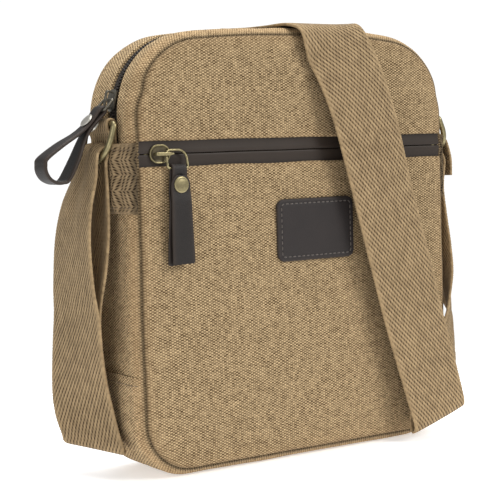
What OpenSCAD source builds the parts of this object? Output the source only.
// Small upright canvas messenger bag: gusseted body, zipped main compartment,
// front zip pocket, two D-rings and a long webbing shoulder strap draped over it.
// Millimetres. Origin at the centre of the resting face, +X to the right of the
// front face, front towards -Y, +Z up.

/* [Body] */
// width of the front panel from seam to seam
bag_w = 190; // [150:1:260]
// height of the front panel's top seam at the centre
seam_top = 218; // [180:1:300]
// depth from the front seam to the back seam
bag_d = 46; // [36:1:70]
// radius of the top corners, at the seam
r_top = 38; // [25:1:60]
// radius of the bottom corners, at the seam
r_bot = 26; // [15:1:40]
// radius of the gently crowned top edge
r_crown = 600; // [400:10:2000]
// how far the gusset stands proud of the seams
bulge = 4; // [2:0.5:6]
// width of the gusset's rounded shoulder
shoulder = 8; // [5:0.5:10]
// canvas thickness
cloth = 1.6; // [1:0.1:2.5]

/* [Front pocket zip] */
// height of the pocket mouth's lower edge
mouth_lo = 153.5; // [120:0.5:180]
// height of the pocket mouth's upper edge
mouth_hi = 165.5; // [130:0.5:195]
// where the front slider stands when the zip is shut
slider_x = -83.2; // [-84:0.1:-60]

/* [Main zip] */
// depth position of the main zip's centre line
zip_y = -5; // [-8:0.5:6]
// half the width of tape that shows between the canvas edges
zip_half = 4.5; // [4:0.1:6]
// where the main slider stands on the corner, degrees above the corner's centre
main_angle = 12; // [10:0.5:14]

/* [Ring tabs] */
// lower edge of the webbing tabs
tab_lo = 131; // [110:1:150]
// upper edge of the webbing tabs
tab_hi = 165; // [150:1:175]
// height of the D-ring bar
ring_z = 174.5; // [172:0.5:180]
// D-ring wire radius
wire = 1.5; // [1.2:0.1:1.5]

/* [Strap] */
// webbing width
strap_w = 40; // [30:1:50]
// webbing thickness
strap_t = 1.4; // [1:0.1:1.8]
// points per span of the strap's curve
strap_n = 3; // [2:1:4]

/* [Hidden] */
$fn = 48;

half_w = bag_w / 2;
half_d = bag_d / 2;
front_y = -half_d;               // inner face of the front panels
face_y = front_y - cloth;        // their outer face
gusset_x = half_w + bulge;       // outer face of the right gusset
seam_bot = bulge;
// crown circle's centre, top corner centre and the crown's half-angle
crown_z = seam_top - r_crown;
top_x = half_w - r_top;
top_z = crown_z + sqrt(pow(r_crown - r_top, 2) - pow(top_x, 2));
crown_angle = asin(top_x / (r_crown - r_top));
// bottom corner centre
bot_x = half_w - r_bot;
bot_z = seam_bot + r_bot;
// shoulder circle of the gusset's cross-section: radius and centre
shoulder_r = (shoulder * shoulder + bulge * bulge) / (2 * bulge);
shoulder_y = half_d - shoulder;
shoulder_out = bulge - shoulder_r;
base_lo = 52;    // seam between the bottom gusset and the side gussets
top_lo = 150;    // seam between the side gussets and the top strips
mouth = (mouth_lo + mouth_hi) / 2;
lap = 1;         // overlap between shapes that join, or cutters that overrun

canvas_c = [0.66, 0.57, 0.42];
web_c = [0.57, 0.48, 0.35];
dark_c = [0.29, 0.26, 0.23];
leather_c = [0.22, 0.19, 0.17];
brass_c = [0.62, 0.55, 0.36];
steel_c = [0.78, 0.77, 0.74];
thread_c = [0.16, 0.13, 0.11];
lining_c = [0.36, 0.33, 0.27];

// ---- shared shapes ----

// the body's outline in the front view, at the seam
module outline() {
  crown_x = r_crown * sin(crown_angle);
  crown_end_z = crown_z + r_crown * cos(crown_angle);
  union() {
    translate([-half_w, bot_z]) square([bag_w, top_z - bot_z]);
    translate([-bot_x, seam_bot]) square([2 * bot_x, r_bot + lap]);
    for (side = [-1, 1]) translate([side * bot_x, bot_z]) circle(r = r_bot);
    for (side = [-1, 1]) translate([side * top_x, top_z]) circle(r = r_top);
    intersection() {
      translate([0, crown_z]) circle(r = r_crown, $fn = 96);
      translate([-crown_x, top_z - lap]) square([2 * crown_x, seam_top - top_z + 2 * lap]);
    }
    polygon([[-crown_x, crown_end_z], [-top_x, top_z], [-top_x, top_z - lap],
      [top_x, top_z - lap], [top_x, top_z], [crown_x, crown_end_z]]);
  }
}

// a front-view shape made solid between two depths
module slab(near_y, far_y)
  translate([0, far_y, 0]) rotate([90, 0, 0]) linear_extrude(far_y - near_y) children();

// a side-view shape in (Y, Z) made solid along +X
module side_slab(width) rotate([90, 0, 90]) linear_extrude(width) children();

// centred rectangle with rounded corners
module rounded(width, height, corner) union() {
  translate([-width / 2, corner - height / 2]) square([width, height - 2 * corner]);
  translate([corner - width / 2, -height / 2]) square([width - 2 * corner, height]);
  for (x = [-1, 1] * (width / 2 - corner), z = [-1, 1] * (height / 2 - corner))
    translate([x, z]) circle(r = corner);
}

// triangles joining successive sections of a swept polyhedron
function skin_faces(sections, size) = [
  for (j = [0 : sections - 2], i = [0 : size - 1])
    let (here = j * size + i, next = j * size + (i + 1) % size)
    each [[here, here + size, next + size], [here, next + size, next]]];

// the gusset's outer shape in (outward, depth)
gusset_root = 12;                // how far the shape reaches in from the seam
module gusset_shape(grow = 0) union() {
  translate([-gusset_root, -shoulder_y])
    square([gusset_root + bulge + grow, 2 * shoulder_y]);
  for (side = [-1, 1])
    translate([shoulder_out, side * shoulder_y]) circle(r = shoulder_r + grow);
}

// the cloth of the gusset in (outward, depth)
module gusset_cloth() intersection() {
  difference() {
    gusset_shape();
    gusset_shape(-cloth);
  }
  translate([-5, -half_d]) square([5 + bulge + lap, bag_d]);
}

// children are in (outward, depth); each module sweeps them along one stretch
module run_left(from_z, to_z)
  translate([-half_w, 0, from_z]) linear_extrude(to_z - from_z) mirror([1, 0]) children();
module run_right(from_z, to_z)
  translate([half_w, 0, from_z]) linear_extrude(to_z - from_z) children();
module run_bottom() translate([-bot_x, 0, bot_z]) rotate([0, 90, 0])
  linear_extrude(2 * bot_x) translate([r_bot, 0]) children();
// arc about a line along Y through centre [x, z], in degrees from +X towards +Z
module run_arc(centre, radius, from, to)
  translate([centre[0], 0, centre[1]]) rotate([90, 0, 0]) rotate([0, 0, from])
    rotate_extrude(angle = to - from, $fn = 96)
      mirror([0, 1]) translate([radius, 0]) children();

// the whole top track from the left side over the top to the right side, as
// [x, z, outward angle]; skip drops points at both ends of an arc
corner_n = 14;
crown_n = 16;
function arc_points(centre, radius, from, to, steps, skip = 0) = [
  for (i = [skip : steps - skip]) let (angle = from + i * (to - from) / steps)
    [centre[0] + radius * cos(angle), centre[1] + radius * sin(angle), angle]];
top_track = concat(
  [[-half_w, top_lo, 180]],
  arc_points([-top_x, top_z], r_top, 180, 90 + crown_angle, corner_n),
  arc_points([0, crown_z], r_crown, 90 + crown_angle, 90 - crown_angle, crown_n, 1),
  arc_points([top_x, top_z], r_top, 90 - crown_angle, 0, corner_n),
  [[half_w, top_lo, 0]]);

// a profile of [y, outward] points drawn along the top track
module run_top(profile) let (size = len(profile), count = len(top_track)) polyhedron(
  points = [for (at = top_track, q = profile)
    [at[0] + q[1] * cos(at[2]), q[0], at[1] + q[1] * sin(at[2])]],
  faces = concat(
    [[for (i = [0 : size - 1]) i]],
    skin_faces(count, size),
    [[for (i = [size - 1 : -1 : 0]) (count - 1) * size + i]]));

function bar_profile(y, width, out, thick) =
  [[y, out], [y + width, out], [y + width, out + thick], [y, out + thick]];
// shoulder of the cloth on the front (-1) or back (+1) side
function shoulder_arc(side, radius, from, to, steps = 7) = [
  for (i = [0 : steps]) let (angle = from + (to - from) * i / steps)
    [side * (shoulder_y + radius * cos(angle)), shoulder_out + radius * sin(angle)]];
inner_r = shoulder_r - cloth;
outer_seam = acos(shoulder / shoulder_r);
inner_seam = acos(shoulder / inner_r);
function front_strip(edge_y) = concat(
  shoulder_arc(-1, inner_r, inner_seam, 90),
  [[edge_y, bulge - cloth], [edge_y, bulge]],
  shoulder_arc(-1, shoulder_r, 90, outer_seam));
function back_strip(edge_y) = concat(
  [[edge_y, bulge - cloth]],
  shoulder_arc(1, inner_r, 90, inner_seam),
  shoulder_arc(1, shoulder_r, outer_seam, 90),
  [[edge_y, bulge]]);

// ---- panels and gussets ----

// the part of the front inside a band of the given height above base_z
module front_band(base_z, height) slab(face_y, front_y) intersection() {
  outline();
  translate([-half_w - lap, base_z]) square([bag_w + 2 * lap, height]);
}
module front_upper_panel() color(canvas_c) front_band(mouth_hi, seam_top);
module front_pocket_panel() color(canvas_c) front_band(-lap, mouth_lo + lap);

module back_panel() color(canvas_c) slab(half_d, half_d + cloth) outline();

module left_side_gusset() color(canvas_c) run_left(base_lo, top_lo) gusset_cloth();
module right_side_gusset() color(canvas_c) run_right(base_lo, top_lo) gusset_cloth();

module bottom_gusset() color(canvas_c) union() {
  run_left(bot_z, base_lo) gusset_cloth();
  run_arc([-bot_x, bot_z], r_bot, 180, 270) gusset_cloth();
  run_bottom() gusset_cloth();
  run_arc([bot_x, bot_z], r_bot, 270, 360) gusset_cloth();
  run_right(bot_z, base_lo) gusset_cloth();
}

module top_gusset_front() color(canvas_c) run_top(front_strip(zip_y - zip_half));
module top_gusset_back() color(canvas_c) run_top(back_strip(zip_y + zip_half));

// ---- sizes shared by both zips ----

tape_t = 0.5;
tape_gap = 0.5;                  // from the zip's centre line to each tape
teeth_w = 1.9;
coil_t = 0.6;                    // continuous base of the front teeth
tooth_t = 0.5;                   // height of the front teeth on that base
link_wire = 0.6;                 // wire radius of the pull links
link_hole = 0.66;                // radius of the leather's eye round the wire
rivet_r = 1.1;

// disc with a shallow dome on it, rising from the origin
module rivet_head(disc_r, dome_r, dome_h, disc_t = 0.5) {
  cylinder(r = disc_r, h = disc_t);
  translate([0, 0, disc_t]) intersection() {
    translate([0, 0, dome_h - dome_r]) sphere(r = dome_r);
    cylinder(r = disc_r - 0.3, h = 1);
  }
}

// ---- front pocket zip ----

tape_x = half_w - 4;
tape_h = 11;
module front_tape(base_z)
  translate([-tape_x, front_y, base_z]) cube([2 * tape_x, tape_t, tape_h]);
module front_zip_tape_upper() color(dark_c) front_tape(mouth + tape_gap);
module front_zip_tape_lower() color(dark_c) front_tape(mouth - tape_gap - tape_h);

// one row of the hidden coil, side +1 above or -1 below the centre line
coil_x = 87;
tooth_n = 58;
tooth_pitch = 3;
tooth_w = 1.6;
module front_teeth(side)
  translate([0, front_y + tape_t, mouth]) mirror([0, 0, side < 0 ? 1 : 0]) union() {
    translate([-coil_x, 0, tape_gap]) cube([2 * coil_x, coil_t, teeth_w]);
    for (i = [0 : tooth_n - 1]) translate([1 - coil_x + i * tooth_pitch, coil_t, tape_gap])
      cube([tooth_w, tooth_t, teeth_w]);
  }
module front_zip_teeth_upper() color(dark_c) front_teeth(1);
module front_zip_teeth_lower() color(dark_c) front_teeth(-1);

stop_x = 90;
stop_size = [1.8, 1.3, 5.6];
module front_zip_stops() color(brass_c) for (side = [-1, 1])
  translate([side * stop_x - stop_size[0] / 2, front_y + tape_t, mouth - stop_size[2] / 2])
    cube(stop_size);

plate_t = 1;
plate_gap = 0.15;                // front plate's clearance from the tapes' front face
plate_y = front_y - plate_gap - plate_t;
back_plate = 1.75;               // back plate's distance behind the tapes' front face
rim_t = 0.3;
rim_w = 0.9;
bail_y = front_y - 4.15;
bail_t = 0.9;
bail_w = 1.6;
bail_left = -3.4;
bail_right = 4.8;

// slider plate: two overlapping circles with their ends cut flat
oval_x = 5.6;
oval_z = 4.6;
oval_end = 1.2;
module oval(grow = 0) intersection() {
  translate([-oval_x - grow, -oval_z - grow])
    square([2 * (oval_x + grow), 2 * (oval_z + grow)]);
  union() {
    for (side = [-1, 1]) translate([side * oval_end, 0]) circle(r = oval_z + grow);
    translate([-oval_end, -oval_z - grow]) square([2 * oval_end, 2 * (oval_z + grow)]);
  }
}

module front_zip_slider() color(brass_c) translate([slider_x, 0, mouth]) union() {
  // oval front plate with a thin raised rim
  slab(plate_y, plate_y + plate_t) oval();
  slab(plate_y - rim_t, plate_y) difference() {
    oval();
    oval(-rim_w);
  }
  // back plate and the neck that joins them through the tapes' gap
  slab(front_y + back_plate, front_y + back_plate + plate_t) oval(-0.3);
  translate([-4.8, front_y - plate_gap, -0.4]) cube([4, plate_gap + back_plate, 0.8]);
  // bail along the track, with a tapered right end and two posts
  translate([bail_left, bail_y - bail_t / 2, -bail_w / 2])
    cube([bail_right - bail_left, bail_t, bail_w]);
  translate([bail_right, 0, 0]) slab(bail_y - bail_t / 2, bail_y + bail_t / 2)
    polygon([[0, -bail_w / 2], [1.4, -0.3], [1.4, 0.3], [0, bail_w / 2]]);
  for (post = [[bail_left, 1.4], [bail_right - 0.6, 0.6]])
    translate([post[0], bail_y, -bail_w / 2]) cube([post[1], plate_y - bail_y, bail_w]);
}

// front pull: the link hangs from the bail, tilted so that its foot clears the panel
link_y = front_y - 2.45;
link_w = 11.2;                   // between wire centres
link_h = 8.9;
link_r = 1.6;                    // top corners
link_rise = 1.8;                 // top wire above the tilting axis
link_tilt = 11.5;
foot_y = link_y - (link_h - link_rise) * sin(link_tilt);
foot_z = mouth - (link_h - link_rise) * cos(link_tilt);
pull_x = slider_x + 2.6 + link_w / 2;

module front_pull_ring() color(brass_c)
  translate([pull_x, link_y, mouth]) rotate([-link_tilt, 0, 0])
  translate([0, 0, link_rise]) union() {
    for (side = [-1, 1]) {
      translate([side * link_w / 2, 0, -link_h]) cylinder(r = link_wire, h = link_h - link_r);
      translate([side * (link_w / 2 - link_r), 0, -link_r])
        rotate([90, 0, 0]) rotate([0, 0, side > 0 ? 0 : 90])
        rotate_extrude(angle = 90) translate([link_r, 0]) circle(r = link_wire);
      translate([side * link_w / 2, 0, -link_h]) sphere(r = link_wire);
    }
    translate([link_r - link_w / 2, 0, 0]) rotate([0, 90, 0])
      cylinder(r = link_wire, h = link_w - 2 * link_r);
    translate([-link_w / 2, 0, -link_h]) rotate([0, 90, 0])
      cylinder(r = link_wire, h = link_w);
  }

// a strip folded over the link's foot, narrow at the top; its side view is
// [y, z] from the foot: the fold, the front layer, then the back layer
front_rivet_drop = 8;
fold_r = 2.1;
front_pull_side = concat(
  [for (i = [0 : 16]) let (angle = 12 + i * 156 / 16) fold_r * [cos(angle), sin(angle)]],
  // the front layer steps forward below the rivet
  [[-1.8, -2.2], [-1.45, -4], [-1.45, -12.2], [-3.35, -16], [-3.35, -47], [-1.9, -47],
    [-1.9, -16.3], [-0.15, -12.4], [-0.15, -11.5], [0.65, -11.5], [0.65, -12.4]],
  [[-1.25, -16.3], [-1.25, -47.6], [0.2, -47.6], [0.2, -16], [2.1, -12.2], [2.1, -3]]);
module front_pull_leather() color(leather_c) intersection() {
  translate([pull_x - 8, foot_y, foot_z]) side_slab(16) difference() {
    polygon(front_pull_side);
    circle(r = link_hole);
  }
  // front view
  slab(foot_y - 6, foot_y + 6) union() {
    translate([pull_x, foot_z - 2]) circle(r = 4.75);
    translate([pull_x, foot_z]) polygon([[-4.75, -2], [-5.2, -12], [-6.3, -48],
      [6.3, -48], [5.2, -12], [4.75, -2]]);
  }
  // everything but the rivet's hole
  translate([0, foot_y, 0]) difference() {
    translate([pull_x - 10, -6, foot_z - 60]) cube([20, 12, 80]);
    translate([pull_x, 0, foot_z - front_rivet_drop]) rotate([90, 0, 0])
      translate([0, 0, -10]) cylinder(r = rivet_r, h = 20);
  }
}

module front_pull_rivet() color(brass_c)
  translate([pull_x, foot_y, foot_z - front_rivet_drop]) rotate([90, 0, 0]) union() {
    translate([0, 0, -2.1]) cylinder(r = rivet_r, h = 3.65);
    translate([0, 0, 1.45]) rivet_head(disc_r = 4, dome_r = 10.2, dome_h = 0.7);
  }

// ---- main zip, along the top track ----

main_tape_w = 8.5;
tape_out = bulge - cloth;        // tape's outer face, outward from the seam
module main_tape(y) run_top(bar_profile(y, main_tape_w, tape_out - tape_t, tape_t));
module main_zip_tape_front() color(dark_c) main_tape(zip_y - tape_gap - main_tape_w);
module main_zip_tape_back() color(dark_c) main_tape(zip_y + tape_gap);
module main_teeth(y) run_top(bar_profile(y, teeth_w, tape_out, coil_t + tooth_t));
module main_zip_teeth_front() color(dark_c) main_teeth(zip_y - tape_gap - teeth_w);
module main_zip_teeth_back() color(dark_c) main_teeth(zip_y + tape_gap);

main_stop = [0.4, 5.2, 2.5];
module main_zip_stops() color(brass_c) for (side = [-1, 1])
  translate([side * (gusset_x - 0.25) - main_stop[0] / 2, zip_y - main_stop[1] / 2, 166])
    cube(main_stop);

// block on the left top corner: radii from the tape's outer face, depth either side
// of the zip's centre line, degrees from the slider's middle
track = r_top + tape_out;
module sector(low, high, half_y, from, to)
  run_arc([-top_x, top_z], 0, 180 - main_angle - to, 180 - main_angle - from)
    translate([track + low, zip_y - half_y]) square([high - low, 2 * half_y]);
module main_zip_slider() color(steel_c) union() {
  // outer and inner plates and the neck between them
  sector(1.2, 2.2, 4.1, -7.2, 7.2);
  sector(-1.75, -0.75, 4.1, -7.2, 7.2);
  sector(-1.1, 1.6, 0.35, 1, 6.5);
  // bail and its posts
  sector(4.8, 5.7, 0.9, -5.4, 5.4);
  for (from = [-5.4, 3.9]) sector(1.8, 5.2, 0.9, from, from + 1.5);
}

// main pull: link hooked through the bail, leather loop swung out to the left.
// In its frame -Z runs down the pull and X lies along the bag's depth.
eye_r = track + 3.5;
eye_x = -top_x - eye_r * cos(main_angle);
eye_z = top_z + eye_r * sin(main_angle);
pull_swing = 43;                 // degrees away from hanging straight down
main_link_w = 9.6;
main_link_h = 7;
main_rivet_drop = 8.5;
module at_main_pull()
  translate([eye_x, zip_y, eye_z]) rotate([0, pull_swing, 0]) rotate([0, 0, 90]) children();

module main_pull_ring() color(steel_c) at_main_pull() union() {
  for (x = [-1, 1] * main_link_w / 2) {
    translate([x, 0, -main_link_h]) cylinder(r = link_wire, h = main_link_h);
    for (z = [-main_link_h, 0]) translate([x, 0, z]) sphere(r = link_wire);
  }
  for (z = [-main_link_h, 0])
    translate([-main_link_w / 2, 0, z]) rotate([0, 90, 0])
      cylinder(r = link_wire, h = main_link_w);
}

main_pull_w = 12.5;
loop_drop = 36;                  // centre of the loop's round end below the link's foot
module main_pull_leather() color(leather_c)
  at_main_pull() translate([0, 0, -main_link_h]) difference() {
    translate([-main_pull_w / 2, 0, 0]) side_slab(main_pull_w) difference() {
      union() {
        circle(r = 2.25);
        polygon([[-2.15, -0.6], [-2, -4.6], [-2, -12.3], [-8.1, -34],
          [8.1, -34], [2, -12.3], [2, -4.6], [2.15, -0.6]]);
        translate([0, -loop_drop]) circle(r = 8.5);
      }
      circle(r = link_hole);
      polygon([[0, -14.5], [-6.3, -34.5], [6.3, -34.5]]);
      translate([0, -loop_drop]) circle(r = 6.7);
    }
    // trim both edges so that the loop widens downward
    for (flip = [0, 1]) mirror([flip, 0, 0]) translate([0, 10, 0]) rotate([90, 0, 0])
      linear_extrude(20)
        polygon([[4, 3], [4, -13], [6.25, -33], [6.25, -45], [7, -45], [7, 3]]);
    translate([0, 10, -main_rivet_drop]) rotate([90, 0, 0]) cylinder(r = rivet_r, h = 20);
  }

module main_pull_rivet() color(steel_c) at_main_pull()
  translate([0, 0, -main_link_h - main_rivet_drop]) rotate([90, 0, 0]) union() {
    translate([0, 0, -2]) cylinder(r = rivet_r, h = 4);
    for (flip = [0, 1]) mirror([0, 0, flip]) translate([0, 0, 2])
      rivet_head(disc_r = 3.6, dome_r = 9.5, dome_h = 0.6);
  }

// ---- ring tabs, loops and rings ----

tab_t = 1.2;
loop_t = 1.2;
loop_w = 22;
pack_t = 2 * loop_t + 0.1;       // the folded loop under the tab
bar_hole = wire + 0.05;
loop_r = bar_hole + loop_t;
bar_x = gusset_x + loop_r + 0.1;

// webbing over the gusset and the loop's two layers, in (outward, depth)
module tab_shape() difference() {
  intersection() {
    union() {
      gusset_shape(tab_t);
      translate([0, -loop_w / 2 - 1.5]) square([bulge + pack_t + tab_t, loop_w + 3]);
    }
    translate([0.4, 0.3 - half_d]) square([20, bag_d - 0.6]);
  }
  gusset_shape();
  translate([0, -loop_w / 2 - 0.1]) square([bulge + pack_t, loop_w + 0.2]);
}
module left_ring_tab() color(web_c) run_left(tab_lo, tab_hi) tab_shape();
module right_ring_tab() color(web_c) run_right(tab_lo, tab_hi) tab_shape();

// webbing folded round the ring's bar, its two ends running down under the tab
module ring_loop() slab(-loop_w / 2, loop_w / 2) difference() {
  union() {
    translate([bar_x, ring_z]) circle(r = loop_r);
    polygon([[bar_x - loop_r, ring_z],
      [gusset_x + 0.05, tab_hi + 1], [gusset_x + 0.05, tab_lo + 2],
      [gusset_x + pack_t, tab_lo + 2], [gusset_x + pack_t, tab_hi + 1],
      [bar_x + loop_r, ring_z]]);
  }
  translate([bar_x, ring_z]) circle(r = bar_hole);
  polygon([[bar_x - 1.2, ring_z - 1.1], [gusset_x + 1.3, tab_hi + 2],
    [bar_x + 1.2, ring_z - 1.1]]);
}
module left_ring_loop() color(web_c) mirror([1, 0, 0]) ring_loop();
module right_ring_loop() color(web_c) ring_loop();

ring_in = 25;                    // inside width along the bar
ring_leg = 5.5;                  // straight part between the bar and the bow
ring_r = ring_in / 2 + wire;
left_tilt = 16;
right_tilt = 24;
module d_ring() union() {
  translate([0, ring_r, 0]) rotate([90, 0, 0]) cylinder(r = wire, h = 2 * ring_r);
  for (side = [-1, 1]) {
    translate([0, side * ring_r, 0]) sphere(r = wire);
    translate([0, side * ring_r, -ring_leg]) cylinder(r = wire, h = ring_leg);
  }
  translate([0, 0, -ring_leg]) rotate([0, 90, 0]) rotate([0, 0, -90])
    rotate_extrude(angle = 180) translate([ring_r, 0]) circle(r = wire);
}
module left_ring() color(brass_c)
  translate([-bar_x, 0, ring_z]) rotate([0, left_tilt, 0]) d_ring();
module right_ring() color(brass_c)
  translate([bar_x, 0, ring_z]) rotate([0, -right_tilt, 0]) d_ring();

// ---- shoulder strap: one webbing drawn through a list of stations ----

// a point beside a ring's bow: up towards the bar, out from the ring's plane
function bow(side, tilt, up, out) =
  [side * bar_x, 0, ring_z]
  + (ring_leg + ring_r - up) * [side * sin(tilt), 0, -cos(tilt)]
  + out * [side * cos(tilt), 0, sin(tilt)];
function bow_l(up, out) = bow(-1, left_tilt, up, out);
function bow_r(up, out) = bow(1, right_tilt, up, out);

// back run: up the back panel, leaning to the right; dist is along it from the adjuster
slide_at = [-45, 31, 146];       // middle of the adjuster
back_dir = [0.5577, 0, 0.8301];
function back(dist, y) =
  [slide_at[0] + dist * back_dir[0], y, slide_at[2] + dist * back_dir[2]];

// width directions that several stations share
back_w = [0.8301, 0, -0.5577];
side_w = [0, 1, 0];
corner_w = [0.62, 0.68, -0.4];
turn_w = [-0.365, 0.93, 0.05];

// each station is [centre, width direction, width]
stations = [
  // end folded round the adjuster's middle bar, lying on the outside of the back run
  [back(-1, 28.35), back_w, 38], [back(0.8, 28.5), back_w, 38], [back(3.3, 31), back_w, 38],
  [back(0, 33.8), back_w, 38], [back(-5, 34.9), back_w, 38], [back(-11.5, 37), back_w, 38],
  [back(-18, 35), back_w, 38], [back(-30, 31.6), back_w, 38], [back(-48, 31), back_w, 37],
  // round the back left corner and down the side
  [[-93, 29.9, 82.5], [0.78, 0.3, -0.54], 30], [[-100.7, 25.4, 62], corner_w, 25],
  [[-107, 19.8, 44], [-0.05, 0.99, -0.1], 27], [[-107.2, 16.4, 32], [-0.34, 0.94, 0], 26],
  [[-105.9, 12.6, 24.5], turn_w, 25], [[-104.7, 9.6, 19], turn_w, 29],
  // inner side of the fold
  [[-105.9, 9.1, 16.6], turn_w, 34], [[-107.1, 8.6, 19], turn_w, 36],
  // up to the ring as the inner layer
  [[-107.9, 10.9, 24.5], turn_w, 36], [[-108.5, 12.9, 31], [-0.35, 0.94, 0], 36],
  [[-109.1, 14.2, 38], [-0.33, 0.944, 0], 36], [[-110.4, 13.4, 48], [-0.28, 0.96, 0], 36],
  [[-112, 10.7, 58], [-0.2, 0.98, 0], 36], [[-112.8, 8.5, 70], [-0.14, 0.99, 0], 35],
  [[-111.6, 7, 84], [-0.06, 1, 0], 33], [[-107.6, 4, 104], side_w, 30],
  [[-105.3, 2, 124], side_w, 27], [[-104.6, 0.6, 142], side_w, 23],
  [bow_l(0, -2.8), side_w, 20], [bow_l(4.8, -2.5), side_w, 20],
  [bow_l(8, 0), side_w, 20], [bow_l(4.8, 2.75), side_w, 20],
  // over the wire and down as the outer layer, front edge turned in to the gusset
  [bow_l(0, 2.9), side_w, 21], [[-111.4, 1, 148], side_w, 25], [[-114.6, 4, 135], side_w, 32],
  [[-116.5, 6, 118], side_w, 38], [[-116.5, 7, 96], [-0.05, 1, 0], 40],
  [[-115.6, 6.8, 82], [-0.11, 0.99, 0], 40],
  [[-114.9, 8.2, 70], [-0.16, 0.987, 0], 40], [[-114, 10.3, 58], [-0.21, 0.978, 0], 40],
  [[-112.4, 12.8, 48], [-0.28, 0.96, 0], 40], [[-111, 13.6, 38], [-0.33, 0.944, 0], 41],
  [[-110.3, 12.2, 30], [-0.355, 0.935, 0], 41], [[-109.7, 10.2, 24], turn_w, 41],
  [[-108.9, 7.9, 18.5], turn_w, 40.5],
  // outer side of the fold
  [[-108.1, 8.2, 15.4], turn_w, 40], [[-105.9, 9.1, 14], turn_w, 38],
  [[-103.6, 9.9, 15.4], turn_w, 33],
  [[-102.8, 10.2, 18.8], turn_w, 26], [[-103.9, 13.2, 24.5], turn_w, 22],
  [[-105.2, 17.2, 32], [-0.34, 0.94, 0], 25], [[-104.7, 19.5, 44], [-0.05, 0.99, -0.1], 27],
  [[-99, 23.6, 62], corner_w, 25], [[-92, 27.8, 82.5], [0.78, 0.3, -0.54], 30],
  // under the end, through the adjuster
  [back(-48, 28.6), back_w, 38], [back(-30, 28.8), back_w, 38], [back(-18, 32), back_w, 38],
  [back(-11.5, 34.4), back_w, 38], [back(-6, 29.6), back_w, 38], [back(0, 26.4), back_w, 38],
  [back(6, 29.6), back_w, 38], [back(11.5, 34.4), back_w, 38], [back(20, 30.8), back_w, 39],
  [back(40, 28), back_w, 40], [back(64, 28), back_w, 40],
  // over the top
  [[-1.2, 28, 212], [0.86, 0.05, -0.5], 40], [[1.4, 27.2, 218], [0.9, 0.16, -0.3], 40],
  [[4, 23, 222.2], [0.95, 0.25, -0.08], 40], [[7.5, 13, 223.4], [0.957, 0.29, 0], 40],
  [[11, 0, 223.4], [0.957, 0.29, 0], 40], [[14.8, -13, 223.4], [0.957, 0.29, 0], 40],
  [[17.4, -22.6, 222], [0.95, 0.25, 0.1], 40], [[18.8, -27.2, 217.6], [0.93, 0.12, 0.3], 40],
  // across the front
  [[21, -28.9, 211.5], [0.915, 0, 0.4], 40], [[25, -30.6, 203], [0.915, 0, 0.4], 40],
  [[30.4, -32.4, 189], [0.935, 0, 0.355], 40], [[36.6, -33.4, 169], [0.955, 0, 0.297], 40],
  [[45.6, -33.9, 135], [0.957, 0, 0.29], 40], [[56.5, -34.2, 97], [0.958, 0, 0.287], 40],
  [[66.8, -34.6, 60], [0.962, 0.02, 0.272], 40], [[75.5, -35.4, 31], [0.966, 0.05, 0.255], 40],
  // fold at the lower right, then up behind the front run
  [[79.8, -36, 16], [0.965, 0.08, 0.25], 40], [[81.2, -34.8, 11.2], [0.965, 0.08, 0.25], 40],
  [[81.5, -32, 9.6], [0.965, 0.08, 0.25], 40], [[81.3, -29.4, 11.4], [0.965, 0.08, 0.25], 38],
  [[81.3, -28.2, 16.5], [0.965, 0.08, 0.22], 36], [[84.2, -27.9, 28], [0.96, 0.1, 0.05], 32],
  [[91, -27.4, 46], [0.9, 0.35, -0.2], 27], [[102, -19.8, 66], [0.66, 0.68, -0.3], 25],
  [[104.4, -9, 86], [0.22, 0.96, -0.1], 33], [[103.4, -2, 104], side_w, 38],
  [[103.4, 0, 120], side_w, 36], [[104.8, 0, 136], side_w, 28],
  // over the right ring, ending in a short tail
  [bow_r(-6, -3.2), side_w, 21], [bow_r(0, -2.8), side_w, 20], [bow_r(4.8, -2.7), side_w, 20],
  [bow_r(8, 0), side_w, 20], [bow_r(4.8, 2.75), side_w, 20], [bow_r(0, 2.9), side_w, 20],
  [[113.4, 0, 151], side_w, 22], [[112.6, 0, 142], side_w, 24]];
station_w = 40;                  // webbing width for which the stations are given

function unit(v) = v / norm(v);
// Catmull-Rom between start and end
function spline(before, start, end, after, t) = 0.5 * (2 * start + (end - before) * t
  + (2 * before - 5 * start + 4 * end - after) * t * t
  + (3 * start - before - 3 * end + after) * t * t * t);
last = len(stations) - 1;
sections = last * strap_n + 1;
function pick(i, column) = stations[max(0, min(last, i))][column];
// a station column's smoothed value at section j, which may be fractional
function strap_value(column, j) = let (
    u = j / strap_n,
    i = min(last - 1, floor(u)))
  spline(pick(i - 1, column), pick(i, column), pick(i + 1, column), pick(i + 2, column), u - i);
function strap_heading(j) =
  unit(strap_value(0, min(sections - 1, j + 0.4)) - strap_value(0, max(0, j - 0.4)));
// four corners of the webbing's section j
function strap_section(j) = let (
    across = unit(strap_value(1, j)),
    normal = unit(cross(strap_heading(j), across)),
    half = strap_value(2, j) / station_w * strap_w / 2 * across,
    rise = strap_t / 2 * normal,
    mid = strap_value(0, j))
  [mid - half - rise, mid + half - rise, mid + half + rise, mid - half + rise];

module shoulder_strap() color(web_c) let (end = 4 * (sections - 1)) polyhedron(
  points = [for (j = [0 : sections - 1]) each strap_section(j)],
  faces = concat(
    [[0, 1, 2], [0, 2, 3]],
    skin_faces(sections, 4),
    [[end, end + 2, end + 1], [end, end + 3, end + 2]]));

// three-bar slide for the webbing
module strap_adjuster() color(brass_c) translate(slide_at)
  rotate([0, atan2(back_dir[0], back_dir[2]), 0]) difference() {
    slab(-1, 1) rounded(48, 26, 1.5);
    for (side = [-1, 1]) translate([-20.5, -5, side * 5.75 - 4.25]) cube([41, 10, 8.5]);
  }

// ---- patch and linings ----

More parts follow.
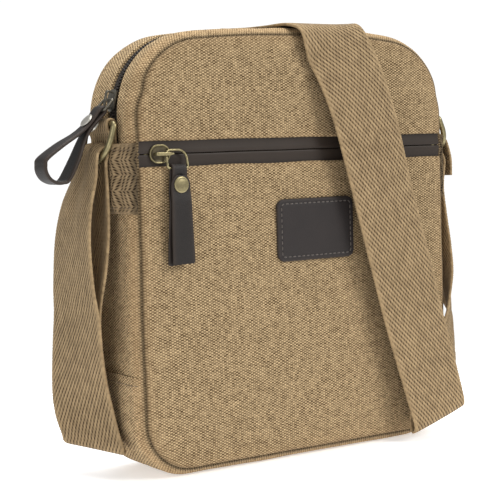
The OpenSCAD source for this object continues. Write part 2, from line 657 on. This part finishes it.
patch_mid = [7.25, 118.5];       // [x, z]
patch_size = [48.5, 32];
patch_r = 4;
patch_y = face_y - 1.6;          // front face of the leather
module patch_shape(grow = 0) translate(patch_mid)
  rounded(patch_size[0] + 2 * grow, patch_size[1] + 2 * grow, patch_r + grow);
module leather_patch() color(leather_c) slab(patch_y, face_y) patch_shape();
module patch_stitches() color(thread_c) slab(patch_y - 0.3, patch_y) difference() {
  patch_shape(-2.2);
  patch_shape(-2.7);
}

// thin inner bag hanging inside the body
lining_t = 0.6;
lining_x = 90.5;                 // half its width
lining_front = -15.6;
lining_bot_r = 22.5;
lining_top_r = 35.5;
lining_bot_x = lining_x - lining_bot_r;
lining_top_x = lining_x - lining_top_r;
lining_top_z = 176.5;            // top corner centres
module lining_shape(grow = 0) union() {
  translate([-lining_x - grow, bot_z])
    square([2 * (lining_x + grow), lining_top_z - bot_z]);
  translate([-lining_bot_x, bot_z - lining_bot_r - grow]) square([2 * lining_bot_x, 24]);
  translate([-lining_top_x, 170]) square([2 * lining_top_x, 42 + grow]);
  for (side = [-1, 1]) {
    translate([side * lining_bot_x, bot_z]) circle(r = lining_bot_r + grow);
    translate([side * lining_top_x, lining_top_z]) circle(r = lining_top_r + grow);
  }
}
module main_lining() color(lining_c) difference() {
  slab(lining_front, half_d - 1) lining_shape();
  slab(lining_front + lining_t, half_d - 1 - lining_t) lining_shape(-lining_t);
  // mouth along the zip
  translate([-50, zip_y - 4, 205]) cube([100, 8, 30]);
}

pocket_at = [-86, front_y + 2.9, 12];
pocket_size = [172, 4.2, 160];
wall = lining_t * [1, 1, 1];
module front_pocket_lining() color(lining_c) difference() {
  translate(pocket_at) cube(pocket_size);
  translate(pocket_at + wall) cube(pocket_size - 2 * wall);
  // mouth along the zip
  translate([-84, front_y, mouth - 4]) cube([168, 4, 8]);
}

// ---- assembly ----
front_upper_panel();
front_pocket_panel();
back_panel();
left_side_gusset();
right_side_gusset();
bottom_gusset();
top_gusset_front();
top_gusset_back();
front_zip_tape_upper();
front_zip_tape_lower();
front_zip_teeth_upper();
front_zip_teeth_lower();
front_zip_stops();
front_zip_slider();
front_pull_ring();
front_pull_leather();
front_pull_rivet();
main_zip_tape_front();
main_zip_tape_back();
main_zip_teeth_front();
main_zip_teeth_back();
main_zip_stops();
main_zip_slider();
main_pull_ring();
main_pull_leather();
main_pull_rivet();
left_ring_tab();
right_ring_tab();
left_ring_loop();
right_ring_loop();
left_ring();
right_ring();
shoulder_strap();
strap_adjuster();
leather_patch();
patch_stitches();
main_lining();
front_pocket_lining();
